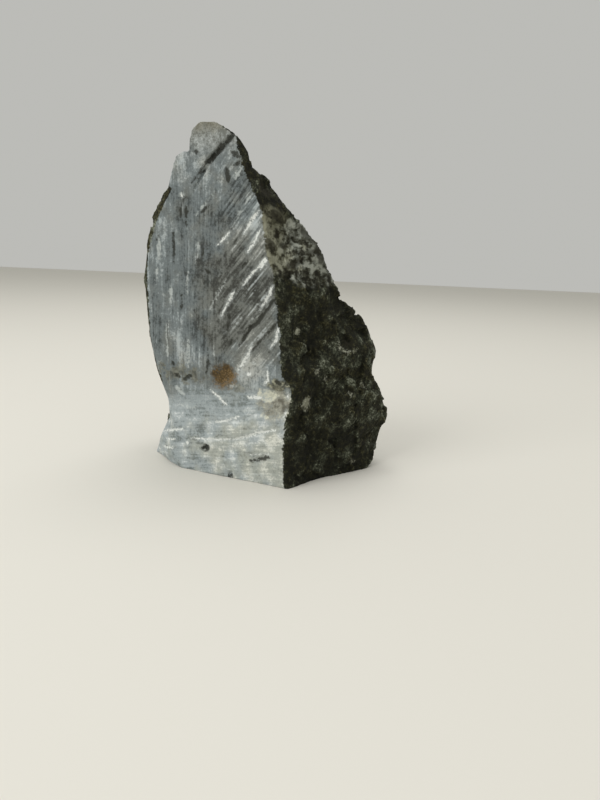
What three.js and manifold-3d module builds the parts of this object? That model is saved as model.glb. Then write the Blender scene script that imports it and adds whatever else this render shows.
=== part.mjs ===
// A rough block of soapstone for carving, standing on its flat foot.
//
// The block is one solid. Its front is a split face, nearly flat and scored with
// tool marks. To the right of the split face, past an upright ridge, and all
// round the back, it keeps the lumpy weathered skin of the outcrop. It narrows
// upwards to a tip at the left, with a small step beside the tip.
//
// Millimetres, +Z up. While it is being shaped, the origin is the foot of the
// ridge between the split face and the dark side, +X runs to the right and +Y
// to the back. At the end the block is moved over the middle of its own foot.
import * as THREE from "three";
import { mergeVertices } from "three/addons/utils/BufferGeometryUtils.js";
import Module from "manifold-3d";

const wasm = await Module();
wasm.setup();

// ---- driving sizes ----
const HEIGHT = 232;
const FACE_TURN = THREE.MathUtils.degToRad(23); // plan angle of the split face
const FOOT_BAND = 64; // height of the paler band along the foot of the split face
const FOOT_REACH = 2.5; // how far the bottom of that band stands forward
const STEP_HEIGHT = 215; // the step to the left of the tip
const STEP_RISE = 0.8; // height over which the outline crosses that step
const LEVELS = 58; // sections of the block, from the foot to the tip

// ---- edges that run up the block ----
// Edges of the split face: [height, distance from the ridge's foot along the face].
const RIDGE = [
  [0, 0], [22, 3], [46, 4], [55, 0], [68, -2], [80, -1], [84, 7], [106, 9],
  [122, 11], [133, 15], [142, 13], [148, 19], [172, 23], [187, 29], [202, 36],
  [214, 39], [223, 44], [227, 51], [HEIGHT, 60],
];
const SPLIT_END = [
  [0, 84], [10, 93], [24, 95], [34, 90], [50, 90], [60, 97], [75, 104], [82, 107],
  [118, 108], [132, 111], [158, 107], [178, 101], [186, 96], [193, 91], [212, 86],
  [STEP_HEIGHT - STEP_RISE, 83], [STEP_HEIGHT, 77], [226, 76], [230, 73], [HEIGHT, 69],
];
// Edges of the weathered skin: [height, x, y]. The shoulder stands in the dark
// side, close by the ridge.
const SHOULDER = [
  [0, 16, 17], [34, 15, 16], [60, 17, 15], [80, 15, 13], [90, 11, 14], [106, 7, 16],
  [122, 2, 14], [133, -1, 12], [140, -4, 15], [160, -11, 17], [180, -18, 16],
  [200, -28, 17], [204, -32, 17], [214, -34, 18], [223, -40, 20], [HEIGHT, -55, 27],
];
const LEFT_RIM = [
  [0, -104, 67], [18, -97, 57], [30, -90, 50], [46, -90, 49], [57, -94, 49],
  [74, -100, 50], [98, -104, 50], [132, -107, 51], [158, -104, 50], [178, -99, 47],
  [186, -93, 44], [192, -88, 41], [212, -82, 38], [STEP_HEIGHT - STEP_RISE, -79, 37],
  [STEP_HEIGHT, -73, 34], [226, -72, 33], [230, -69, 32], [HEIGHT, -65, 30],
];
const LEFT_BACK = [
  [0, -92, 98], [26, -84, 92], [48, -88, 93], [80, -96, 86], [110, -95, 78],
  [128, -96, 74], [146, -88, 64], [170, -86, 60], [195, -75, 48],
  [STEP_HEIGHT - STEP_RISE, -72, 43], [STEP_HEIGHT, -69, 41], [HEIGHT, -63, 35],
];
const BACK = [
  [0, -22, 116], [30, -12, 119], [58, -16, 113], [84, -24, 107], [96, -26, 96],
  [124, -32, 87], [148, -44, 72], [170, -47, 64], [195, -56, 49], [214, -57, 44],
  [HEIGHT, -59, 36],
];
const RIGHT_BACK = [
  [0, 34, 95], [24, 44, 97], [52, 40, 94], [74, 35, 85], [98, 26, 81], [112, 14, 69],
  [140, -2, 62], [164, -22, 48], [195, -36, 36], [214, -45, 34], [HEIGHT, -57, 34],
];
const RIGHT = [
  [0, 59, 50], [7, 64, 55], [18, 65, 57], [34, 71, 63], [50, 69, 60], [57, 65, 55],
  [66, 59, 50], [79, 55, 47], [86, 60, 55], [103, 52, 53], [112, 47, 50],
  [118, 38, 45], [124, 32, 41], [130, 30, 40], [136, 25, 38], [158, 14, 37],
  [173, 3, 30], [176, -3, 27], [186, -12, 24], [194, -17, 25], [202, -24, 22],
  [204, -30, 19], [214, -33, 20], [223, -40, 24], [HEIGHT, -56, 31],
];

// Sides of a section, anticlockwise from the ridge. Each runs from its own edge
// to the next side's edge, in so many steps. swell is how far its middle stands
// out, as a share of its width. breaks and chips are how deep its relief goes,
// and edgeRelief is the share of it that is left on the side's own edge.
const SIDES = [
  { edge: (z) => onSplitFace(RIDGE, z), edgeRelief: 0.3, steps: 4, swell: 0, breaks: 2, chips: 2.4 },
  { edge: (z) => onSkin(SHOULDER, z), edgeRelief: 1, steps: 11, swell: 0.03, breaks: 3, chips: 3 },
  { edge: (z) => onSkin(RIGHT, z), edgeRelief: 0.3, steps: 8, swell: 0.06, breaks: 4, chips: 3 },
  { edge: (z) => onSkin(RIGHT_BACK, z), edgeRelief: 0.7, steps: 9, swell: 0.06, breaks: 6, chips: 3 },
  { edge: (z) => onSkin(BACK, z), edgeRelief: 0.7, steps: 10, swell: 0.05, breaks: 6, chips: 3 },
  { edge: (z) => onSkin(LEFT_BACK, z), edgeRelief: 0.7, steps: 7, swell: 0.05, breaks: 4, chips: 3 },
  { edge: (z) => onSkin(LEFT_RIM, z), edgeRelief: 0.4, steps: 3, swell: 0, breaks: 0.8, chips: 1.6 },
  { edge: (z) => onSplitFace(SPLIT_END, z), edgeRelief: 0.8, steps: 15, swell: 0, breaks: 0.8, chips: 0.5 },
];

// ---- relief of the stone ----
const BREAK_SIZE = 46; // width of one large broken plane
const LUMP_SIZE = 15; // width of one swelling
const CHIP_SIZE = 17; // width of one small facet
const LUMP_SHARE = 0.35; // height of the swellings as a share of the small facets'
const WANDER_SIZE = 6; // how far apart two points stray up and down on their own
const WANDER = 1.1; // how far they stray
const EDGE_SHARE = 0.18; // share of a side over which its relief grows from the edge
const FULL_RELIEF_WIDTH = 32; // a side narrower than this has less relief

// ---- marks on the split face ----
// Tool marks, each along points [distance from the ridge's foot, height].
const TOOL_MARKS = [
  { along: [[44, 226], [53, 217], [62, 211], [72, 198], [79, 184]], width: 3.6, depth: 4.5 },
  { along: [[73, 176], [61, 188], [48, 199]], width: 2.2, depth: 1.2 },
  { along: [[58, 155], [44, 169], [34, 187]], width: 2, depth: 1.1 },
  { along: [[40, 160], [34, 169], [27, 179]], width: 2.4, depth: 1.3 },
  { along: [[35, 146], [30, 158], [23, 170]], width: 2.4, depth: 1.3 },
  { along: [[52, 112], [45, 124], [34, 137], [20, 149]], width: 2.6, depth: 1.6 },
  { along: [[62, 113], [57, 122], [51, 131]], width: 2, depth: 1 },
  { along: [[27, 112], [21, 122], [15, 133]], width: 3.4, depth: 1.6 },
  { along: [[38, 95], [30, 108], [13, 127]], width: 2.4, depth: 1.8 },
  { along: [[18, 92], [9, 104]], width: 2.6, depth: 1.2 },
  { along: [[39, 75], [33, 86], [27, 96]], width: 2.8, depth: 1.4 },
  { along: [[58, 37], [40, 41], [17, 53]], width: 2, depth: 0.9 },
  { along: [[76, 23], [40, 28], [8, 41]], width: 2.4, depth: 1 },
  { along: [[27, 15], [13, 23]], width: 2.6, depth: 1.4 },
];
const MARK_STATIONS = 7;
const MARK_END_DEPTH = -0.4; // a mark runs out just clear of the face
const CUTTER_PROUD = 1.6; // how far a cutter stands out of the face
const PITS = [
  { at: [65, 19], size: 4.8, depth: 2.6 },
  { at: [44, 2.6], size: 5, depth: 2 },
];
const PIT_TAPER = 0.55; // size of a pit's floor as a share of its mouth

// ---- reading the edges ----
function at(stations, z) {
  let k = 1;
  while (k < stations.length - 1 && stations[k][0] < z) k++;
  const [low, high] = [stations[k - 1], stations[k]];
  const t = THREE.MathUtils.clamp((z - low[0]) / (high[0] - low[0]), 0, 1);
  return low.slice(1).map((value, i) => THREE.MathUtils.lerp(value, high[i + 1], t));
}

const onSkin = (stations, z) => new THREE.Vector2(...at(stations, z));

const onSplitFace = (stations, z) => {
  const { x, y } = facePoint(at(stations, z)[0], z, 0);
  return new THREE.Vector2(x, y);
};

const alongFace = new THREE.Vector3(-Math.cos(FACE_TURN), Math.sin(FACE_TURN), 0);
const outOfFace = new THREE.Vector3(-Math.sin(FACE_TURN), -Math.cos(FACE_TURN), 0);

// A point on the split face, or proud of it. Above the foot band the face is set back.
function facePoint(distance, z, proud) {
  const setBack = FOOT_REACH * THREE.MathUtils.clamp(z / FOOT_BAND, 0, 1);
  return new THREE.Vector3(0, 0, z)
    .addScaledVector(alongFace, distance)
    .addScaledVector(outOfFace, proud - setBack);
}

// ---- noise ----
// A repeatable number from -1 to 1 for each corner of a lattice in space.
function latticeValue([i, j, k], salt) {
  const wave = Math.sin(i * 127.1 + j * 311.7 + k * 74.7 + salt * 53.9) * 43758.5453;
  return 2 * (wave - Math.floor(wave)) - 1;
}

// Smooth swellings of the given width, from -1 to 1.
function swelling(point, size, salt) {
  const place = point.clone().divideScalar(size).toArray();
  const corner = place.map(Math.floor);
  const share = place.map((value, axis) => THREE.MathUtils.smoothstep(value - corner[axis], 0, 1));
  let sum = 0;
  for (let n = 0; n < 8; n++) {
    const far = [n & 1, (n >> 1) & 1, n >> 2];
    const weight = far.reduce((w, on, axis) => w * (on ? share[axis] : 1 - share[axis]), 1);
    sum += weight * latticeValue(corner.map((c, axis) => c + far[axis]), salt);
  }
  return sum;
}

// Flat facets of the given width that meet in sharp creases, from -1 to 1. Each
// cube of the lattice is six wedges, and the value is even along every wedge.
const CREASE_TURN = new THREE.Euler(0.5, 0.7, 0.3);
function facets(point, size, salt) {
  const place = point.clone().applyEuler(CREASE_TURN).divideScalar(size).toArray();
  const corner = place.map(Math.floor);
  const order = place
    .map((value, axis) => ({ axis, share: value - corner[axis] }))
    .sort((a, b) => b.share - a.share);
  let value = latticeValue(corner, salt) * (1 - order[0].share);
  order.forEach(({ axis, share }, n) => {
    corner[axis] += 1;
    const nextShare = n < 2 ? order[n + 1].share : 0;
    value += latticeValue(corner, salt) * (share - nextShare);
  });
  return value;
}

function relief(point, { breaks, chips }) {
  const lumps = LUMP_SHARE * swelling(point, LUMP_SIZE, 11);
  return breaks * facets(point, BREAK_SIZE, 5) + chips * (facets(point, CHIP_SIZE, 17) + lumps);
}

// ---- shaping ----
// A closed solid through rings of points of one count, each ring anticlockwise
// seen from the end that the rings run to.
function loft(rings) {
  const count = rings[0].length;
  const middle = (ring) =>
    ring.reduce((sum, p) => sum.add(p), new THREE.Vector3()).divideScalar(count);
  const points = [...rings.flat(), middle(rings[0]), middle(rings.at(-1))];
  const faces = [];
  for (let level = 0; level < rings.length - 1; level++) {
    for (let n = 0; n < count; n++) {
      const [a, b] = [level * count + n, level * count + ((n + 1) % count)];
      const [c, d] = [a + count, b + count];
      const crossesShorter = points[a].distanceTo(points[d]) < points[b].distanceTo(points[c]);
      if (crossesShorter) faces.push(a, b, d, a, d, c);
      else faces.push(a, b, c, b, d, c);
    }
  }
  const last = (rings.length - 1) * count;
  for (let n = 0; n < count; n++) {
    const next = (n + 1) % count;
    faces.push(points.length - 2, next, n, points.length - 1, last + n, last + next);
  }
  return new THREE.BufferGeometry().setFromPoints(points).setIndex(faces);
}

// Share of the relief at a distance from a side's own edge, as a share of its width.
function reliefShare({ edgeRelief }, distance) {
  return THREE.MathUtils.lerp(edgeRelief, 1, Math.min(1, distance / EDGE_SHARE));
}

// One level of the block. The foot, the tip and the step stay level.
function section(z) {
  const level = z === 0 || z === HEIGHT || Math.abs(z - STEP_HEIGHT) < HEIGHT / LEVELS;
  return SIDES.flatMap((side, n) => {
    const next = SIDES[(n + 1) % SIDES.length];
    const from = side.edge(z);
    const run = next.edge(z).sub(from);
    const outward = new THREE.Vector2(run.y, -run.x).normalize();
    const width = run.length();
    return Array.from({ length: side.steps }, (_, k) => {
      const t = k / side.steps;
      const spot = from.clone().addScaledVector(run, t);
      spot.addScaledVector(outward, side.swell * width * 4 * t * (1 - t));
      const point = new THREE.Vector3(spot.x, spot.y, z);
      const strength = reliefShare(side, t) * reliefShare(next, 1 - t);
      const push = relief(point, side) * strength * Math.min(1, width / FULL_RELIEF_WIDTH);
      const stray = level ? 0 : WANDER * swelling(point, WANDER_SIZE, 29);
      return point.add(new THREE.Vector3(outward.x * push, outward.y * push, stray));
    });
  });
}

function heights() {
  const even = Array.from({ length: LEVELS + 1 }, (_, n) => (HEIGHT * n) / LEVELS);
  const clear = even.filter((z) => Math.abs(z - STEP_HEIGHT) > HEIGHT / LEVELS / 2);
  return [...clear, STEP_HEIGHT - STEP_RISE, STEP_HEIGHT].sort((a, b) => a - b);
}

// A cutter for one tool mark: a sharp keel that runs out of the stone at both ends.
function toolMark({ along, width, depth }) {
  const line = new THREE.CatmullRomCurve3(along.map(([u, z]) => new THREE.Vector3(u, z, 0)));
  const half = (width / 2) * (1 + CUTTER_PROUD / depth);
  const rings = [];
  for (let n = 0; n <= MARK_STATIONS; n++) {
    const t = n / MARK_STATIONS;
    const spot = line.getPoint(t);
    const way = line.getTangent(t);
    const [du, dz] = [-way.y * half, way.x * half];
    const keel = THREE.MathUtils.lerp(MARK_END_DEPTH, depth, Math.sqrt(Math.sin(Math.PI * t)));
    rings.push([
      facePoint(spot.x + du, spot.y + dz, CUTTER_PROUD),
      facePoint(spot.x, spot.y, -keel),
      facePoint(spot.x - du, spot.y - dz, CUTTER_PROUD),
    ]);
  }
  return loft(rings);
}

// A cutter for a square pit in the split face.
function pitCutter({ at: [u, z], size, depth }) {
  const corners = [[-1, -1], [-1, 1], [1, 1], [1, -1]];
  const square = (half, proud) =>
    corners.map(([a, b]) => facePoint(u + a * half, z + b * half, proud));
  return loft([square((size / 2) * PIT_TAPER, -depth), square(size / 2, CUTTER_PROUD)]);
}

// ---- joining ----
function solid(geometry) {
  const bare = geometry.clone();
  ["normal", "uv"].forEach((name) => bare.deleteAttribute(name));
  const merged = mergeVertices(bare, 1e-4);
  return new wasm.Manifold(
    new wasm.Mesh({
      numProp: 3,
      vertProperties: new Float32Array(merged.attributes.position.array),
      triVerts: new Uint32Array(merged.index.array),
    }),
  );
}

function geometryOf(manifold) {
  const { numProp, vertProperties, triVerts } = manifold.getMesh();
  const points = [];
  for (let n = 0; n < vertProperties.length; n += numProp) {
    points.push(new THREE.Vector3(...vertProperties.subarray(n, n + 3)));
  }
  const geometry = new THREE.BufferGeometry().setFromPoints(points).setIndex([...triVerts]);
  geometry.computeVertexNormals();
  return geometry;
}

function soapstoneBlock() {
  const cutters = [
    ...TOOL_MARKS.map(toolMark),
    ...PITS.map(pitCutter),
  ];
  const block = cutters.reduce(
    (stone, cutter) => stone.subtract(solid(cutter)),
    solid(loft(heights().map(section))),
  );
  const geometry = geometryOf(block);
  geometry.computeBoundingBox();
  const { min, max } = geometry.boundingBox;
  geometry.translate(-(min.x + max.x) / 2, -(min.y + max.y) / 2, -min.z);
  const stone = new THREE.MeshStandardMaterial({ color: 0x878d8b, roughness: 0.85, metalness: 0 });
  const mesh = new THREE.Mesh(geometry, stone);
  mesh.name = "soapstone_block";
  return mesh;
}

const part = new THREE.Group();
part.add(soapstoneBlock());

export default part;
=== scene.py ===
import math

import bmesh
import bpy
import numpy as np
from mathutils import Matrix, Vector, noise


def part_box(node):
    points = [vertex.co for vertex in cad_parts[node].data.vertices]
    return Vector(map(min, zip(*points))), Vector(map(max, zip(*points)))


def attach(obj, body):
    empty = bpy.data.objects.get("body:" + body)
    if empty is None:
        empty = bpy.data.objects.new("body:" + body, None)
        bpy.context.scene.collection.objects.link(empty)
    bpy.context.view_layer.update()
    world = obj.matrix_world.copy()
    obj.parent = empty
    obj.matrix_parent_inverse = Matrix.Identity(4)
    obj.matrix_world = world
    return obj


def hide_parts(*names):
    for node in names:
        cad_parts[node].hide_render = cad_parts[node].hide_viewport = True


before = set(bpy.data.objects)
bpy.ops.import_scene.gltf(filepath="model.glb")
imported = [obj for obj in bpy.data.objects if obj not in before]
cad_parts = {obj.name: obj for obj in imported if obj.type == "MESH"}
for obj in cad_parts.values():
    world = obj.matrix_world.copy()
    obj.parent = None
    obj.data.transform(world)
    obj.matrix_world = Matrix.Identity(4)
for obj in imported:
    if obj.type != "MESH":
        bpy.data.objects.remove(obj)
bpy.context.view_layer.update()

# ---- The block ----
# A rough block of soapstone, one piece split off an outcrop and left for a carver. The
# fresh split fills the front, marked by the tools that made it, and the outcrop's
# weathered skin covers the rest. The stone is soft, so a tool bruises it white.
MM = 0.001
MESH_PITCH = 0.75 * MM
MOST_TRIANGLES = 195_000

low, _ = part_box("soapstone_block")
FACE_TURN = math.radians(23)
RIDGE_FOOT = Vector((low.x + 108.1 * MM, low.y + 0.3 * MM, 0))
ALONG = Vector((-math.cos(FACE_TURN), math.sin(FACE_TURN), 0))
OUTWARD = Vector((-math.sin(FACE_TURN), -math.cos(FACE_TURN), 0))
FOOT_BAND = 64  # millimetres, the height of the paler band along the foot
FOOT_REACH = 2.5  # millimetres, how far the foot of the face stands forward
LEDGE = 68  # millimetres, the height of the broken edge above that band
SPLIT_DEPTH = 4  # millimetres behind the split plane, where the skin begins
TOE_DEPTH = 26  # millimetres, how much further back the split runs at the toe
TOE_START = (84, 96)  # millimetres from the ridge, over which the toe begins
TOE_TOP = (48, 72)  # millimetres above the floor, over which the toe ends
TOE_SLOPE = 0.8  # how much lower it ends for each millimetre further back
RAGGED = 6  # millimetres, how far the end of the split wanders

# Where the split face ends, as heights and distances from the ridge in millimetres: by
# the ridge, where skin laps over it higher up, and at the far side.
RIDGE_SIDE = np.array([
    (0, 2), (6, 3), (20, 4.5), (47, 4.5), (54, 2.5), (64, 0.5), (68, 1), (76, 8), (99, 10.5),
    (134, 15), (142, 17), (154, 22.5), (177, 25.5), (186, 30), (206, 40.5), (223, 46), (232, 60),
])
FAR_SIDE = np.array([
    (0, 130), (36, 127), (48, 115), (60, 105), (75, 111), (82, 113.5), (132, 115.5),
    (148, 114.5), (165, 109), (178, 102), (186, 97), (192, 94), (197, 99), (232, 90),
])

# A mark narrows towards its ends, and its cut pushes up a slight lip along its sides.
END_WIDTH = 0.3  # of the width at the middle
LIP_HEIGHT = 0.35  # of the depth of the cut

# Marks on the split face, from its top to its foot: half of the width at the middle, how
# deep the mark is cut, and its points (distance from the ridge, height), in millimetres.
BRUISES = [
    (1.3, 0.1, [(85, 188)]),
    (0.9, 0.3, [(28.5, 179), (33, 173), (39, 165)]),
    (0.9, 0.3, [(26, 169), (32, 158.5), (36, 153)]),
    (0.7, 0.3, [(49, 166), (53, 161), (58, 157)]),
    (1.6, 0.2, [(21.5, 150), (24, 147.5), (27, 143.5)]),
    (0.8, 0.3, [(27.5, 144.5), (34, 138), (40, 131)]),
    (1.0, 0.3, [(17, 133), (20, 126), (25, 119)]),
    (1.0, 0.3, [(44.5, 128.5), (48, 122.5), (51, 117)]),
    (0.6, 0.2, [(51, 117), (54.5, 110)]),
    (1.0, 0.3, [(11.5, 107.5), (13.5, 99.5), (17.5, 93.5)]),
    (1.0, 0.3, [(30.5, 93), (34.5, 86), (40, 76.5)]),
    (0.7, 0.1, [(28.5, 82)]),
    (1.0, 0.1, [(18.5, 78), (18.5, 72), (21, 68.5)]),
    (1.4, 0.1, [(32, 74.5)]),
    (0.6, 0.1, [(4, 66), (3, 61)]),
    (0.6, 0.1, [(3.5, 54), (6, 48)]),
    (0.9, 0.2, [(62.5, 60), (54.5, 55.5), (49, 51)]),
    (1.3, 0.1, [(33, 59), (22.5, 59.5)]),
    (0.9, 0.2, [(57.5, 37.5), (47, 40.5), (38.5, 44.5)]),
    (1.1, 0.2, [(41, 28.5), (30.5, 32), (25, 35), (10, 39.5)]),
    (0.8, 0.2, [(77, 23), (53, 26), (37, 29)]),
    (0.9, 0.1, [(108, 21), (92, 27), (84, 29)]),
    (0.7, 0.1, [(103, 17.5), (90, 20.5)]),
    (1.2, 0.1, [(80, 19)]),
    (0.6, 0.1, [(29.5, 19), (22, 20.5), (14, 22)]),
    (0.9, 0.1, [(110, 9), (90, 14.5)]),
]
SCRATCHES = [
    (1.6, 0.1, [(40, 205.5), (46, 197)]),
    (0.7, 0.2, [(58, 192), (67, 183), (74, 175.5)]),
    (0.8, 0.2, [(35, 187), (42, 176.5), (46, 170.5), (50, 165)]),
    (2.2, 0.1, [(103, 161), (103.5, 145)]),
    (1.1, 0.1, [(72.5, 158), (73.5, 147)]),
    (2.0, 0.1, [(105, 140), (105.5, 129)]),
    (1.1, 0.1, [(81, 139), (82, 124)]),
    (0.8, 0.2, [(50.5, 135), (58, 124.5), (63, 115.5)]),
    (0.7, 0.1, [(37, 135), (42, 128.5), (45.5, 123)]),
    (1.2, 0.1, [(94.5, 129), (95, 115)]),
    (1.3, 0.1, [(23, 121), (27, 116), (32, 108)]),
    (1.2, 0.1, [(97.5, 103), (98, 80)]),
    (1.1, 0.1, [(80, 93), (80.5, 73)]),
    (0.9, 0.1, [(60, 91), (60, 83.5)]),
    (1.0, 0.1, [(50, 64.5), (40, 65)]),
    (1.4, 0.2, [(91.5, 59), (83.5, 53.5)]),
    (0.9, 0.1, [(40, 48), (23.5, 50.5)]),
    (1.0, 0.1, [(88, 46), (78, 45), (72, 46.5)]),
    (0.8, 0.1, [(36, 43.5), (20, 46.5)]),
    (0.9, 0.1, [(43, 39), (29.5, 41)]),
    (0.8, 0.1, [(60, 12), (48, 12.5)]),
    (1.0, 0.1, [(34, 4.5), (22, 6), (12, 8)]),
]
# Cracks, grooves and pits: painted dark below, partly their own dark line and partly painted shade in
# the groove.
CRACKS_AND_GROOVE_SHADES = [
    (1.3, 0.6, [(42, 229), (47, 224), (52.5, 220), (60, 214.5), (66.5, 208)]),
    (1.3, 0.4, [(56, 217.5), (61, 212.5), (66, 209)]),
    (0.9, 0.4, [(64, 211.5), (69, 206), (73.5, 200), (78, 195.5)]),
    (1.0, 0.1, [(77, 215), (72.5, 214)]),
    (1.5, 0.1, [(43, 210.5), (45, 212), (48, 213.5)]),
    (1.1, 0.1, [(42, 207.5), (47, 206)]),
    (1.9, 0.3, [(52, 204.5), (50.5, 196)]),
    (0.8, 0.1, [(82, 181.5), (82, 169)]),
    (0.8, 0.2, [(70.5, 177), (65.5, 181)]),
    (0.9, 0.1, [(86, 180), (86, 174)]),
    (1.0, 0.2, [(92.5, 165), (92, 155), (92, 144)]),
    (0.9, 0.1, [(107, 157.5), (103.5, 162)]),
    (0.9, 0.1, [(97, 155), (97, 148)]),
    (0.8, 0.1, [(69, 155), (69, 149)]),
    (1.0, 0.1, [(67, 141), (62, 138.5)]),
    (0.8, 0.1, [(35, 149), (39, 143.5)]),
    (1.3, 0.5, [(14, 126), (21.5, 117.5), (26, 110.5), (31.5, 105.5), (35.5, 99.5), (40, 93)]),
    (1.1, 0.3, [(11, 112), (20, 102.5), (25.5, 96.5), (31.5, 88.5)]),
    (0.7, 0.1, [(86, 125), (86, 112)]),
    (1.0, 0.1, [(48, 113), (48.5, 108), (49, 102)]),
    (0.8, 0.1, [(64.5, 90), (64, 78.5), (66, 70.5)]),
    (0.8, 0.1, [(45, 97), (47.5, 92)]),
    (1.3, 0.1, [(94, 76), (92.5, 73.5)]),
    (1.3, 0.2, [(12, 72.5), (9, 70)]),
    (1.3, 0.2, [(3, 73), (6, 71)]),
    (1.1, 0.1, [(92, 67.5), (87, 66)]),
    (1.2, 0.2, [(84.5, 64.5), (78, 68)]),
    (2.5, 0.5, [(63.5, 18)]),
    (1.8, 0.2, [(68, 18.5), (66, 16.5)]),
    (0.9, 0.2, [(22.5, 17), (12, 20)]),
    (0.8, 0.2, [(28.5, 15), (22, 16)]),
    (1.3, 0.0, [(42, 1.5), (46, 0)]),
]
# Pale grains and dark hollows in the skin, from top to foot: half of the width, and points
# (right of, behind and above the foot of the ridge), in millimetres.
PALE_GRAINS = [
    (1.9, [(4, 26, 158)]),
    (1.5, [(-5, 19, 154)]),
    (3.0, [(-8, 16, 151), (-4, 18, 151)]),
    (1.3, [(1, 18, 143), (4, 21, 146)]),
    (2.0, [(1, 12, 104), (4, 14, 104)]),
    (0.8, [(31, 32, 98), (32, 31, 92), (36, 32, 90), (42, 35, 90), (45, 39, 92)]),
    (1.4, [(5, 14, 87), (6, 14, 82)]),
    (1.8, [(17, 14, 78)]),
    (1.6, [(23, 20, 73)]),
    (1.6, [(50, 43, 66), (51, 43, 58)]),
    (1.9, [(40, 34, 59)]),
    (4.6, [(10, 11, 57)]),
    (2.2, [(46, 41, 6), (45, 40, 10)]),
]
DARK_HOLLOWS = [
    (4.0, [(-24, 18, 196), (-19, 18, 188)]),
    (3.0, [(-17, 16, 179), (-10, 20, 173)]),
    (3.2, [(1, 28, 171), (10, 32, 162), (14, 33, 156)]),
    (2.4, [(-2, 25, 164)]),
    (3.2, [(-21, 12, 162), (-18, 11, 158), (-14, 13.5, 158)]),
    (2.6, [(-9, 19, 158)]),
    (3.2, [(6, 25, 153), (11, 30, 155), (15, 31, 151), (14, 29, 148)]),
    (2.6, [(-6, 14, 145), (-1, 17, 148), (3, 20, 149)]),
    (4.0, [(38, 34, 96)]),
]


def on_face(points):
    """Distance from the ridge, height and depth behind the split face, in millimetres."""
    from_foot = (points - np.array(RIDGE_FOOT)) / MM
    set_back = FOOT_REACH * np.clip(from_foot[:, 2] / FOOT_BAND, 0, 1)
    return from_foot @ np.array(ALONG), from_foot[:, 2], -from_foot @ np.array(OUTWARD) - set_back


def rise(value, start, end):
    """0 below start, 1 above end, and smooth between them."""
    share = np.clip((value - start) / (end - start), 0, 1)
    return share * share * (3 - 2 * share)


def inside_mark(spots, half_width, line):
    """How far each spot lies inside a mark, in millimetres; outside it is negative."""
    line = np.array(line, float)
    nearest = np.linalg.norm(spots - line[0], axis=1)
    taper = np.full(len(spots), 1.0 if len(line) == 1 else 0.0)
    legs = len(line) - 1
    for leg in range(legs):
        run = line[leg + 1] - line[leg]
        share = np.clip((spots - line[leg]) @ run / (run @ run), 0, 1)
        gap = np.linalg.norm(spots - line[leg] - share[:, None] * run, axis=1)
        closer = gap < nearest
        nearest[closer] = gap[closer]
        reach = (leg + share[closer]) / legs
        taper[closer] = np.sqrt(np.clip(4 * reach * (1 - reach), 0, 1))
    return half_width * (END_WIDTH + (1 - END_WIDTH) * taper) - nearest


def texture(points, size, octaves):
    """Noise from about -1 to 1 whose largest lumps are size millimetres wide."""
    places = (points / (size * MM)).tolist()
    return np.array([noise.fractal(place, 1, 2, octaves) for place in places])


EDGE_WAVE = 0.16  # how far the edge of a break wanders, as a share of its width
STEP_HEIGHT = 0.25  # how much higher or lower than its neighbours a break may lie
CELL_SPREAD = 97  # far enough apart that each break draws its own tilt


def facets(points, size):
    """Flat breaks about size millimetres wide, each tilted its own way, in millimetres."""
    wavy = np.stack([texture(points + shift, size * 0.6, 3) for shift in range(3)], 1)
    places = ((points / MM + EDGE_WAVE * size * wavy) / size).tolist()
    heights = np.empty(len(places))
    for row, place in enumerate(places):
        centre = noise.voronoi(place)[1][0]
        tilt = noise.cell_vector(centre * CELL_SPREAD) - Vector((0.5, 0.5, 0.5))
        heights[row] = (Vector(place) - centre).dot(tilt) + tilt.z * STEP_HEIGHT
    return heights * size


def bare_reach(points):
    """How far inside the split face each point lies, in millimetres; on skin it is negative.

    Low down at the far side the split runs back round the toe."""
    along, height, depth = on_face(points)
    ridge = np.interp(height, *RIDGE_SIDE.T)
    far = np.interp(height, *FAR_SIDE.T)
    ragged = RAGGED * texture(points, 13, 3)
    sloping = height + TOE_SLOPE * np.clip(depth, 0, SPLIT_DEPTH + TOE_DEPTH)
    toe = (TOE_DEPTH + ragged) * rise(along, *TOE_START)
    toe *= rise(-sloping + ragged, -TOE_TOP[1], -TOE_TOP[0])
    return np.minimum(np.minimum(along - ridge, far - along), SPLIT_DEPTH + toe - depth)


# What breaks up the skin, by its width in millimetres. Each pattern's factor below is how
# high it stands.
BREAK = 14
KNOB = 16
CHIP = 5.5
GRIT = 4
HOLLOW_DEPTH = 0.16  # of half of a hollow's width


def skin_relief(points, edge):
    """Breaks and knobs of the skin, in millimetres, lower where it meets the split face."""
    broad = rise(-edge, 0.5, 9)
    large = 0.32 * facets(points, BREAK) + 0.4 * texture(points, KNOB, 1)
    small = 0.2 * facets(points, CHIP) + 0.3 * texture(points, GRIT, 4)
    relief = broad * large + (0.3 + 0.7 * broad) * small
    for half_width, line in DARK_HOLLOWS:
        inside = inside_mark((points - np.array(RIDGE_FOOT)) / MM, half_width, line)
        relief -= HOLLOW_DEPTH * half_width * rise(inside, -1, half_width)
    return relief


# The split face is combed by flutes and finer lines: how wide and how long they are, and
# how far into the stone they keep their course, in millimetres.
FLUTE = (4.5, 44, 20)
FINE_LINE = (1.5, 22, 8)
LEDGE_DEPTH = 0.6  # millimetres, how far the broken ledge lies back


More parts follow.
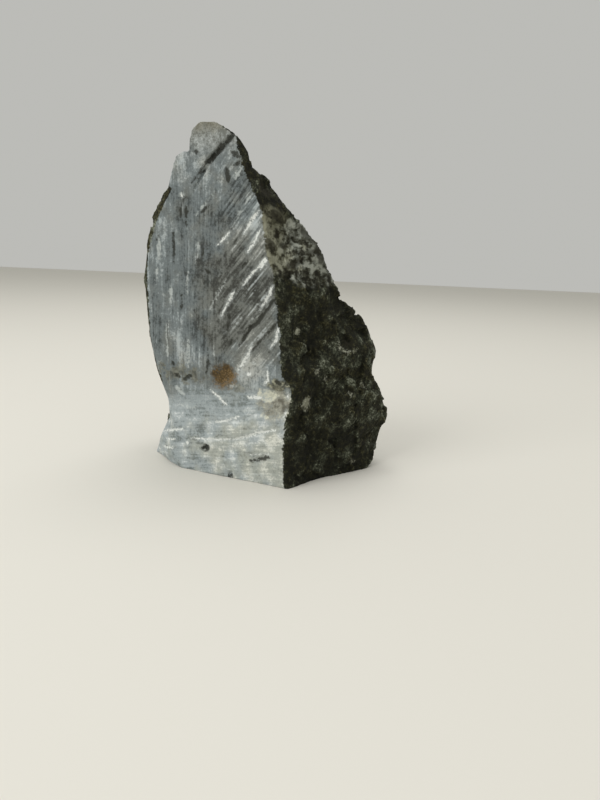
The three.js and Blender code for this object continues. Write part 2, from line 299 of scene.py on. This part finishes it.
def split_relief(points):
    """Flutes of the split face and its broken ledge, in millimetres.

    The flutes are upright at the far side and lean over towards the ridge."""
    along, height, depth = on_face(points)
    leaning = rise(-along, -66, -34) * rise(height, FOOT_BAND + 6, FOOT_BAND + 28)
    over = along + leaning * (0.55 * (height - FOOT_BAND - 8) - 0.25 * along)
    spots = np.stack([over, height, depth], 1)
    relief = 0.34 * texture(spots / FLUTE * MM, 1, 2)
    relief += 0.16 * texture(spots / FINE_LINE * MM, 1, 2)
    relief += 0.14 * texture(points, 2.2, 2) + 0.3 * texture(points, 14, 2)
    relief *= 0.5 + 0.5 * rise(height, FOOT_BAND - 14, FOOT_BAND + 12)
    broken = rise(-np.abs(height - LEDGE), -9, -2) * rise(texture(points, 6, 3), 0, 0.35)
    return relief - LEDGE_DEPTH * broken


def mark_relief(points):
    """Tool marks and cracks cut into the split face, in millimetres, each with its lip."""
    along, height, depth = on_face(points)
    spots = np.stack([along, height], 1)
    near_face = depth < 6
    on_top = depth < 2
    relief = np.zeros(len(points))
    for half_width, cut, line in BRUISES + SCRATCHES + CRACKS_AND_GROOVE_SHADES:
        inside = inside_mark(spots, half_width, line)
        relief -= cut * rise(inside, -0.8, half_width) * near_face
        lip = rise(inside, -1.8, -0.8) * (1 - rise(inside, -0.8, 0)) * on_top
        relief += LIP_HEIGHT * cut * lip
    return relief


def positions(mesh):
    """The mesh's points, one row of three numbers each."""
    flat = np.empty(len(mesh.vertices) * 3)
    mesh.vertices.foreach_get("co", flat)
    return flat.reshape(-1, 3)


def store(mesh, name, values):
    """Keeps one number for each point of the mesh, for its material to read."""
    mesh.attributes.new(name, "FLOAT", "POINT").data.foreach_set("value", values)


def apply_modifiers(piece):
    """Gives the piece the mesh that its modifiers make, and no modifiers."""
    view = bpy.context.evaluated_depsgraph_get()
    made = bpy.data.meshes.new_from_object(piece.evaluated_get(view))
    piece.modifiers.clear()
    piece.data = made


def drop_bubbles(mesh):
    """Keeps what is joined to the mesh's top point, because remeshing can leave bubbles."""
    shape = bmesh.new()
    shape.from_mesh(mesh)
    to_walk = [max(shape.verts, key=lambda vert: vert.co.z)]
    joined = set(to_walk)
    while to_walk:
        vert = to_walk.pop()
        fresh = {edge.other_vert(vert) for edge in vert.link_edges} - joined
        joined |= fresh
        to_walk.extend(fresh)
    bubbles = [vert for vert in shape.verts if vert not in joined]
    bmesh.ops.delete(shape, geom=bubbles, context="VERTS")
    shape.to_mesh(mesh)
    shape.free()


# An even, fine mesh over the solid, so that each point can move on its own.
block = bpy.data.objects.new("stone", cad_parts["soapstone_block"].data.copy())
bpy.context.scene.collection.objects.link(block)
block.data.materials.clear()
remesh = block.modifiers.new("close mesh", "REMESH")
remesh.mode = "VOXEL"
remesh.voxel_size = MESH_PITCH
apply_modifiers(block)
drop_bubbles(block.data)

# Each point moves along its own normal. The block stands flat, so the relief ends just
# above the floor.
points = positions(block.data)
normals = np.empty(len(points) * 3)
block.data.vertices.foreach_get("normal", normals)
edge = bare_reach(points)
skin_share = rise(-edge, -0.5, 1.5)
relief = skin_share * skin_relief(points, edge) + (1 - skin_share) * split_relief(points)
relief += mark_relief(points)
relief *= rise(points[:, 2] / MM, 0.3, 2.5)
# The relief's height is kept too; the material paints light and shade with it.
store(block.data, "relief", relief)
points += normals.reshape(-1, 3) * relief[:, None] * MM
points[:, 2] = np.maximum(points[:, 2], 0)
block.data.vertices.foreach_set("co", points.ravel())
block.data.update()

triangles = sum(len(face.vertices) - 2 for face in block.data.polygons)
thin = block.modifiers.new("fewer triangles", "DECIMATE")
thin.ratio = min(1, MOST_TRIANGLES / triangles)
apply_modifiers(block)
block.data.polygons.foreach_set("use_smooth", np.ones(len(block.data.polygons), bool))

# How far inside each kind of mark the points lie, for the colours.
FAR_OUTSIDE = -6  # millimetres, the least that is stored
FACE_DEPTH = 16  # millimetres behind the split plane, as deep as its marks colour the stone
points = positions(block.data)
along, height, depth = on_face(points)
for name, marks in (("bruise", BRUISES), ("scratch", SCRATCHES), ("crack_and_groove_shade", CRACKS_AND_GROOVE_SHADES)):
    spots = np.stack([along, height], 1)
    inside = [inside_mark(spots, half_width, line) for half_width, _, line in marks]
    reach = np.maximum(np.max(inside, 0), FAR_OUTSIDE)
    store(block.data, name, np.where(depth < FACE_DEPTH, reach, FAR_OUTSIDE))
for name, marks in (("pale_grain", PALE_GRAINS), ("dark_hollow", DARK_HOLLOWS)):
    spots = (points - np.array(RIDGE_FOOT)) / MM
    inside = [inside_mark(spots, half_width, line) for half_width, line in marks]
    store(block.data, name, np.maximum(np.max(inside, 0), FAR_OUTSIDE))
store(block.data, "bare", bare_reach(points))

# The stone's own material: one number or colour after another, worked out over its surface.
stone = bpy.data.materials.new("soapstone")
stone.use_nodes = True


class Value:
    """A number, colour or place that changes over the stone. Sums on it add Math nodes."""

    tree = stone.node_tree

    def __init__(self, socket):
        self.socket = socket

    @classmethod
    def node(cls, kind, settings=None, inputs=None, output=0):
        """Adds a node of any kind: its settings first, then its sockets' values or links."""
        made = cls.tree.nodes.new(kind)
        for name, setting in (settings or {}).items():
            setattr(made, name, setting)
        for name, given in (inputs or {}).items():
            if isinstance(given, Value):
                cls.tree.links.new(given.socket, made.inputs[name])
            else:
                made.inputs[name].default_value = given
        return Value(made.outputs[output])

    @classmethod
    def math(cls, operation, first, second):
        return cls.node("ShaderNodeMath", {"operation": operation}, {0: first, 1: second})

    def __add__(self, other):
        return self.math("ADD", self, other)

    def __radd__(self, other):
        return self.math("ADD", other, self)

    def __sub__(self, other):
        return self.math("SUBTRACT", self, other)

    def __rsub__(self, other):
        return self.math("SUBTRACT", other, self)

    def __mul__(self, other):
        return self.math("MULTIPLY", self, other)

    def __rmul__(self, other):
        return self.math("MULTIPLY", other, self)

    def __truediv__(self, other):
        return self.math("DIVIDE", self, other)

    def __rtruediv__(self, other):
        return self.math("DIVIDE", other, self)

    def __abs__(self):
        return self.math("ABSOLUTE", self, 0)


def vector(operation, first, second, output=0):
    """Vector Math on two places or directions; its output 1 is a number."""
    return Value.node("ShaderNodeVectorMath", {"operation": operation}, {0: first, 1: second}, output)


def between(value, start, end):
    """0 at start, 1 at end, and smooth between them."""
    return Value.node(
        "ShaderNodeMapRange",
        {"interpolation_type": "SMOOTHSTEP"},
        {"Value": value, "From Min": start, "From Max": end},
    )


def band(value, middle, half_width, fade):
    """1 within half_width of the middle, fading to 0."""
    return between(abs(value - middle), half_width + fade, half_width)


def rgb(red, green, blue):
    """A colour as light, from its screen values from 0 to 255."""
    parts = [value / 255 for value in (red, green, blue)]
    return *((p / 12.92 if p <= 0.04045 else ((p + 0.055) / 1.055) ** 2.4) for p in parts), 1


def paint(under, over, share):
    """The colour under, covered by a share of the colour over."""
    return Value.node("ShaderNodeMix", {"data_type": "RGBA"}, {0: share, 6: under, 7: over}, output=2)


def shades(value, palette):
    """A colour that changes with the value, through the palette's values and colours."""
    colour = rgb(*palette[0][1])
    for (start, _), (end, shade) in zip(palette, palette[1:]):
        colour = paint(colour, rgb(*shade), between(value, start, end))
    return colour


# Places on the stone, in millimetres, from the foot of the ridge.
in_mm = vector("MULTIPLY", Value.node("ShaderNodeTexCoord", output="Object"), [1 / MM] * 3)
from_foot = vector("SUBTRACT", in_mm, RIDGE_FOOT / MM)
up = Value.node("ShaderNodeSeparateXYZ", inputs={0: from_foot}, output=2)
across = vector("DOT_PRODUCT", from_foot, ALONG, output=1)
behind = vector("DOT_PRODUCT", from_foot, -OUTWARD, output=1)


def stored(name):
    """The number kept for each point of the mesh under this name."""
    return Value.node("ShaderNodeAttribute", {"attribute_name": name}, output="Fac")


def grain(size, detail=2, roughness=0.5, places=in_mm):
    """Mottling around 0 whose patches are about size millimetres wide."""
    inputs = {"Vector": places, "Scale": 1 / size, "Detail": detail, "Roughness": roughness}
    return Value.node("ShaderNodeTexNoise", inputs=inputs) - 0.5


STREAK_DEPTH = 9  # millimetres into the stone that a streak keeps its course


def streaks(lean, width, length, detail=3):
    """Streaks on the split face that lean by an angle towards the ridge as they rise."""
    turn = math.radians(lean)
    over = across * (math.cos(turn) / width) + up * (math.sin(turn) / width)
    onward = up * (math.cos(turn) / length) - across * (math.sin(turn) / length)
    inward = behind / STREAK_DEPTH
    stretched = Value.node("ShaderNodeCombineXYZ", inputs={0: over, 1: onward, 2: inward})
    return grain(1, detail, 0.6, stretched)


def blob(centre, half_width, half_height):
    """1 at a place (distance from the ridge, height), 0 at its rim and less beyond."""
    over = (across - centre[0]) / half_width
    onward = (up - centre[1]) / half_height
    return 1 - (over * over + onward * onward)


def zone(centre, half_width, half_height):
    """1 at a place (distance from the ridge, height), fading to 0 at its rim."""
    return between(blob(centre, half_width, half_height), 0, 0.9)


# Mottling that the finishes share, from the widest patches to the smallest. Its factors
# in the tones below are how strongly each shows.
cloud = grain(30, 3)
chunks = grain(9, 1)
patches = grain(8, 4, 0.6)
mottle = grain(6.5, 4, 0.6)
bits = grain(4.5, 1)
flecks = grain(2.3, 3, 0.65)
specks = grain(1.9, 3, 0.65)
dots = grain(0.9, 1)
# The relief's height, for painted light and shade: raised spots are painted lighter and hollows
# darker in the tones below.
relief_light_and_shade = stored("relief")

# The split face: blue-grey stone, combed by the tool. The streaks are upright at the far
# side and lean over towards the ridge, where the stone is warmer.
COOL_STONE = [(-0.25, (54, 59, 58)), (0.45, (110, 118, 119)), (1.15, (172, 180, 181))]
WARM_STONE = [(-0.25, (56, 57, 52)), (0.45, (112, 115, 110)), (1.15, (172, 174, 168))]
COMBED = (186, 193, 193)
# Lighter and darker places: by how much, centre (distance from the ridge, height), half of
# the width and half of the height.
PLACES = [
    (0.22, (72, 203), 26, 18),
    (-0.34, (38, 193), 15, 13),
    (-0.34, (84, 176), 13, 17),
    (0.3, (38, 161), 19, 17),
    (0.16, (104, 145), 12, 34),
    (-0.3, (56, 138), 36, 66),
    (-0.5, (26, 130), 16, 16),
    (-0.24, (73, 106), 9, 28),
    (-0.2, (106, 96), 12, 22),
    (0.5, (28, 76), 24, 16),
]
WARM_PLACE = ((38, 122), 38, 60)
# Here and below, a pair is where a thing is not there yet and where it is full: distances
# from the ridge for a side, and heights for a foot or a top.
LEAN_SIDE = (68, 36)
LEAN_FOOT = (70, 92)
CLEARER_TOP = (135, 160)
BROAD_SIDE = (66, 88)

lean_zone = between(across + cloud * 40, *LEAN_SIDE) * between(up, *LEAN_FOOT)
by_ridge_top = lean_zone * between(up, *CLEARER_TOP)
upright = streaks(0, 2.8, 30) + streaks(0, 1.2, 9, 2) * 0.8
leaning = streaks(40, 2.6, 22) + streaks(38, 1.2, 10, 2) * 0.8
streak = upright + (leaning - upright) * lean_zone
fine_upright = streaks(0, 1.5, 26, 1) * 0.7
fine_leaning = streaks(41, 1.9, 34, 1) * 1.2
comb = fine_upright + (fine_leaning - fine_upright) * lean_zone
tone = 0.46 + streak * 0.9 + comb * (0.9 + by_ridge_top * 0.9)
# Painted light and shade: the relief's raised spots lighter, its hollows darker.
tone = tone + cloud * 1.2 + patches * 1.3 + specks + dots * 0.6 + relief_light_and_shade * 0.18
tone = tone + streaks(0, 7, 70, 1) * between(across, *BROAD_SIDE)
for change, *place in PLACES:
    tone = tone + zone(*place) * change
warmth = zone(*WARM_PLACE) * 0.8 + grain(13, 3) * 2.4 + 0.2
split = paint(shades(tone, COOL_STONE), shades(tone, WARM_STONE), between(warmth, 0, 0.9))
combed = between(comb, 0.13, 0.24) * between(patches + specks, -0.1, 0.1)
split = paint(split, rgb(*COMBED), combed * (0.55 + by_ridge_top * 0.25))

# The band along the foot: paler, streaked level and dusty with crushed stone.
COOL_DUST = [(-0.1, (114, 122, 120)), (0.5, (163, 172, 174)), (1.1, (222, 227, 226))]
WARM_DUST = [(-0.1, (118, 121, 113)), (0.5, (168, 172, 164)), (1.1, (222, 223, 213))]
LEVEL_LENGTH = 24  # millimetres, how long its streaks are
LEVEL_HEIGHT = 2.4  # millimetres, how high they are
LEVEL_RISE = 0.16  # how much they rise for each millimetre towards the ridge
DUST_TOP = (82, 56)

level_places = {
    0: across / LEVEL_LENGTH,
    1: (up + across * LEVEL_RISE) / LEVEL_HEIGHT,
    2: behind / STREAK_DEPTH,
}
level_streaks = grain(1, 3, 0.6, Value.node("ShaderNodeCombineXYZ", inputs=level_places))
dust_tone = 0.37 + chunks * 1.1 + patches * 1.3 + specks * 0.9 + dots * 0.6 + level_streaks * 1.3
dust_tone = dust_tone + between(up, 66, 40) * 0.26 - between(across, 20, 80) * 0.17
dust_warmth = 0.75 - across * 0.006 - between(up, 30, 50) * 0.5 + grain(11) * 2
dust = paint(shades(dust_tone, COOL_DUST), shades(dust_tone, WARM_DUST), between(dust_warmth, 0, 0.8))
dusty_height = up + patches * 30 + specks * 14 + across * 0.17
split = paint(split, dust, between(dusty_height, *DUST_TOP))

# Crusts on the split face: cream by the ridge, dark grains on the ledge above it, olive
# towards the far side, and one spot of rust with an olive tail.
CREAM = [(-0.35, (88, 82, 64)), (0, (148, 146, 131)), (0.35, (214, 213, 192))]
LEDGE_GRAINS = [(-0.2, (52, 51, 38)), (0.02, (92, 91, 74)), (0.25, (160, 159, 136))]
OLIVE = [(-0.25, (60, 58, 43)), (0, (104, 103, 88)), (0.25, (136, 136, 122))]
RUST = [(-0.6, (56, 45, 23)), (0, (86, 68, 37)), (0.6, (122, 100, 66))]
CREAM_PLACE = ((11, 58), 16, 15)
CREAM_PALEST = ((18, 61.5), 9, 5)
CREAM_DULLEST = ((6, 57), 8, 7)
LEDGE_PLACE = ((9, 69.5), 13, 5)
RUST_PLACE = ((52, 71), 11, 9.5)
OLIVE_PLACES = [(0.75, (87, 70), 24, 11), (0.6, (44, 65), 12, 5)]  # the most olive, and where

cream_tone = patches * 0.9 + bits * 1.1 + specks * 0.3 + dots * 0.5
cream_tone = cream_tone + zone(*CREAM_PALEST) * 0.8 - zone(*CREAM_DULLEST) * 0.2
cream_share = between(blob(*CREAM_PLACE) + patches * 2.4 + specks * 1.8, -0.1, 0.9)
split = paint(split, shades(cream_tone, CREAM), cream_share * 0.85)
olive = shades(grain(3.6, 3, 0.6) + bits, OLIVE)
for most, *place in OLIVE_PLACES:
    olive_share = between(blob(*place) + patches * 4 + specks * 2, 0.3, 1)
    split = paint(split, olive, olive_share * most)
ledge_share = between(blob(*LEDGE_PLACE) + patches + bits * 2, 0.1, 0.7)
split = paint(split, shades(bits + specks * 1.5, LEDGE_GRAINS), ledge_share * 0.85)
rust_side, rust_height = RUST_PLACE[0]
rust_tone = patches + specks * 2.4 + dots * 2
rust_tone = rust_tone - (across - rust_side) * 0.04 - (up - rust_height) * 0.04
rust_share = between(blob(*RUST_PLACE) + bits * 1.4 + specks * 1.6, -0.2, 0.8)
split = paint(split, shades(rust_tone, RUST), rust_share)

# The tip, weathered to a warm grey and browned along its top.
TIP = [(-0.3, (114, 116, 110)), (0, (148, 152, 149)), (0.3, (178, 183, 181))]
BROWNED = (114, 107, 84)
TIP_FOOT = (208, 222)
BROWNED_FOOT = (222, 233)

tip_tone = patches * 1.5 + bits * 0.5 + specks * 1.2 + dots * 0.8 - 0.08
split = paint(split, shades(tip_tone, TIP), between(up + patches * 26, *TIP_FOOT) * 0.85)
split = paint(split, rgb(*BROWNED), between(up + patches * 16 + specks * 8, *BROWNED_FOOT) * 0.6)

# The skin: black-brown, olive or greyer by patches, with pale flecks of mineral. Where its relief
# stands out it is painted lighter, and darker in its hollows: painted light and shade.
BROWN_SKIN = [(0, (14, 15, 5)), (0.4, (31, 31, 14)), (0.7, (62, 60, 37)), (1.1, (122, 121, 96))]
GREY_SKIN = [(0, (15, 16, 9)), (0.4, (33, 35, 23)), (0.7, (65, 68, 54)), (1.1, (128, 132, 116))]

far_edge = between(across, 88, 108)
right_edge = between(across, -22, -40)
near_floor = between(up, 60, 10)
skin_tone = 0.38 + chunks * 1.1 + mottle * 0.8 + flecks * 1.9 + dots + relief_light_and_shade * 0.1
skin_tone = skin_tone + far_edge * 0.25 + right_edge * 0.1 - near_floor * 0.07
greyer = between(grain(9), -0.08, 0.1)
skin = paint(shades(skin_tone, BROWN_SKIN), shades(skin_tone, GREY_SKIN), greyer)

# The shoulder by the ridge, where an old break has weathered to grey, and to beige next to
# the split face. The same grey shows in older breaks round the back.
SHOULDER = [(-0.1, (34, 33, 24)), (0.3, (70, 70, 58)), (0.6, (106, 109, 100)), (1.1, (156, 159, 149))]
BEIGE = [(-0.1, (38, 35, 22)), (0.4, (84, 83, 66)), (1, (130, 129, 109))]
SHOULDER_PLACE = ((-2, 157), 40, 22)
SHOULDER_FOOT = ((-2, 140), 12, 9)
SHOULDER_PALEST = ((16, 167), 16, 9)
SHOULDER_BACK = (42, 26)  # millimetres behind the split face
OLD_BREAK_FRONT = (62, 80)  # millimetres behind the split face

shoulder = between(blob(*SHOULDER_PLACE) + mottle * 1.6, 0.1, 0.6)
shoulder = shoulder * between(behind + mottle * 16, *SHOULDER_BACK)
shoulder_foot = between(blob(*SHOULDER_FOOT) + mottle * 1.6, 0.1, 0.7)
shoulder = shoulder + shoulder_foot * (1 - shoulder) * 0.7
old_break = between(grain(34, 3), 0.02, 0.14) * between(behind, *OLD_BREAK_FRONT)
shoulder = shoulder + old_break * (1 - shoulder) * 0.6
# Painted light and shade here too: the relief's raised spots lighter, its hollows darker.
shoulder_tone = 0.54 + chunks * 2.8 + bits * 2.7 + specks * 2.3 + dots + relief_light_and_shade * 0.1
shoulder_tone = shoulder_tone + between(up, 138, 158) * 0.1 + zone(*SHOULDER_PALEST) * 0.2
skin = paint(skin, shades(shoulder_tone, SHOULDER), shoulder)
by_ridge = between(stored("bare") + mottle * 14, -14, -4) * band(up, 162, 17, 6)
by_ridge = by_ridge * between(across, 50, 40)
skin = paint(skin, shades(shoulder_tone, BEIGE), by_ridge * 0.8)

# Dark hollows and pale grains of the skin.
HOLLOW = (40, 38, 27)
PALE = [(-0.4, (104, 103, 86)), (0, (150, 151, 134)), (0.4, (186, 187, 170))]

hollowed = between(stored("dark_hollow") + bits * 3 + specks * 3, -0.8, 1)
skin = paint(skin, rgb(*HOLLOW), hollowed * 0.75)
pale_share = between(stored("pale_grain") + bits * 4 + specks * 6 + dots * 3, -1.2, 1.8)
skin = paint(skin, shades(specks * 1.6 + bits, PALE), pale_share * 0.8)

# The skin starts at the edges of the split face. Bruises, scratches and cracks lie over both the grey
# stone and its crusts. The cracks are painted dark, partly as their own dark line and partly as
# painted shade.
POWDER = (176, 182, 180)
WHITE_BRUISE = (230, 233, 229)
SCRATCHED = (196, 202, 199)
CRACK_AND_SHADE_COLOUR = (33, 34, 25)

bare = between(stored("bare") + specks * 5 + patches * 4, -0.3, 0.5)
colour = paint(skin, split, bare)
bruise = stored("bruise") + specks * 3.4 + dots * 1.5
colour = paint(colour, rgb(*POWDER), between(bruise, -1.8, 0.3) * bare * 0.45)
crushed = between(bruise, -0.2, 0.5) * between(flecks + dots, -0.3, -0.08)
colour = paint(colour, rgb(*WHITE_BRUISE), crushed * bare * 0.9)
scratch = between(stored("scratch") + bits * 3 + specks * 4 + comb * 2, -0.7, 1)
scratch = scratch * between(streak + specks * 0.6, -0.2, 0.1)
colour = paint(colour, rgb(*SCRATCHED), scratch * bare * 0.6)
# Cracks, grooves and pits painted dark: partly the crack itself, partly painted shade in it.
crack_and_groove_shade = between(stored("crack_and_groove_shade") + bits * 3.4 + specks * 4 + dots * 2, -0.7, 0.6)
colour = paint(colour, rgb(*CRACK_AND_SHADE_COLOUR), crack_and_groove_shade * bare * 0.88)

# The skin is dull and finely pitted, and the split face has a faint, combed sheen.
PIT_DEPTH = 0.8 * MM

shader = Value.tree.nodes["Principled BSDF"]
shader.inputs["Specular IOR Level"].default_value = 0.3
roughness = 0.9 - bare * (0.2 - streak * 0.3)
pitting = flecks * (1 - bare) * 1.1 + streak * bare * 0.5 + specks * 0.5 + dots * 0.4
bump = Value.node("ShaderNodeBump", inputs={"Height": pitting, "Distance": PIT_DEPTH})
for name, value in (("Base Color", colour), ("Roughness", roughness), ("Normal", bump)):
    Value.tree.links.new(value.socket, shader.inputs[name])

block.data.materials.append(stone)
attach(block, "root")
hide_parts("soapstone_block")

# ---- The floor ----
# A sheet of plain pale board with a matt face, laid flat under the block and wide enough
# to run off to a horizon.
FLOOR_SIZE = 8
FLOOR_DROP = 0.1 * MM
PALE_BOARD = (222, 219, 210)

floor_mesh = bpy.data.meshes.new("floor")
sides = (-FLOOR_SIZE / 2, FLOOR_SIZE / 2)
corners = [(x, y, -FLOOR_DROP) for x in sides for y in sides]
floor_mesh.from_pydata(corners, [], [(0, 2, 3, 1)])
floor = bpy.data.objects.new("floor", floor_mesh)
bpy.context.scene.collection.objects.link(floor)
board = bpy.data.materials.new("pale board")
board.use_nodes = True
board_shader = board.node_tree.nodes["Principled BSDF"]
board_shader.inputs["Base Color"].default_value = rgb(*PALE_BOARD)
board_shader.inputs["Roughness"].default_value = 0.85
floor_mesh.materials.append(board)

# ---- Light and camera ----
# A wide lamp at the left and a wider one overhead, with a diffuser each, in a room of
# pale walls. The camera stands close, a little above the block's middle, and looks down.
SKY = (226, 226, 221)
SKY_STRENGTH = 0.66
# Name, place and size in metres, and power in watts.
LAMPS = [
    ("left lamp", (-1.1, -1.0, 1.0), 1.0, 13),
    ("overhead lamp", (0.1, 0.4, 2.2), 1.6, 20),
]
CAMERA_PLACE = RIDGE_FOOT + Vector((5.9, -378.5, 150.9)) * MM
LOOK_DOWN = math.radians(13.25)
CAMERA_ROLL = math.radians(2.51)
FOCAL_LENGTH = 27.05  # millimetres, on a sensor 36 wide
SENSOR_WIDTH = 36

world = bpy.context.scene.world or bpy.data.worlds.new("sky")
bpy.context.scene.world = world
world.use_nodes = True
sky = world.node_tree.nodes["Background"]
sky.inputs["Color"].default_value = rgb(*SKY)
sky.inputs["Strength"].default_value = SKY_STRENGTH

for name, place, size, power in LAMPS:
    lamp = bpy.data.objects.new(name, bpy.data.lights.new(name, "AREA"))
    lamp.data.size = size
    lamp.data.energy = power
    lamp.location = place
    lamp.rotation_euler = (-Vector(place)).to_track_quat("-Z", "Y").to_euler()
    bpy.context.scene.collection.objects.link(lamp)

forward = Vector((0, math.cos(LOOK_DOWN), -math.sin(LOOK_DOWN)))
level_up = Vector((0, math.sin(LOOK_DOWN), math.cos(LOOK_DOWN)))
right = Vector((1, 0, 0)) * math.cos(CAMERA_ROLL) + level_up * math.sin(CAMERA_ROLL)
camera = bpy.data.objects.new("camera", bpy.data.cameras.new("camera"))
camera.data.lens = FOCAL_LENGTH
camera.data.sensor_width = SENSOR_WIDTH
turn = Matrix((right, right.cross(forward), -forward)).transposed().to_4x4()
camera.matrix_world = Matrix.Translation(CAMERA_PLACE) @ turn
bpy.context.scene.collection.objects.link(camera)
bpy.context.scene.camera = camera
bpy.context.scene.view_settings.view_transform = "Standard"
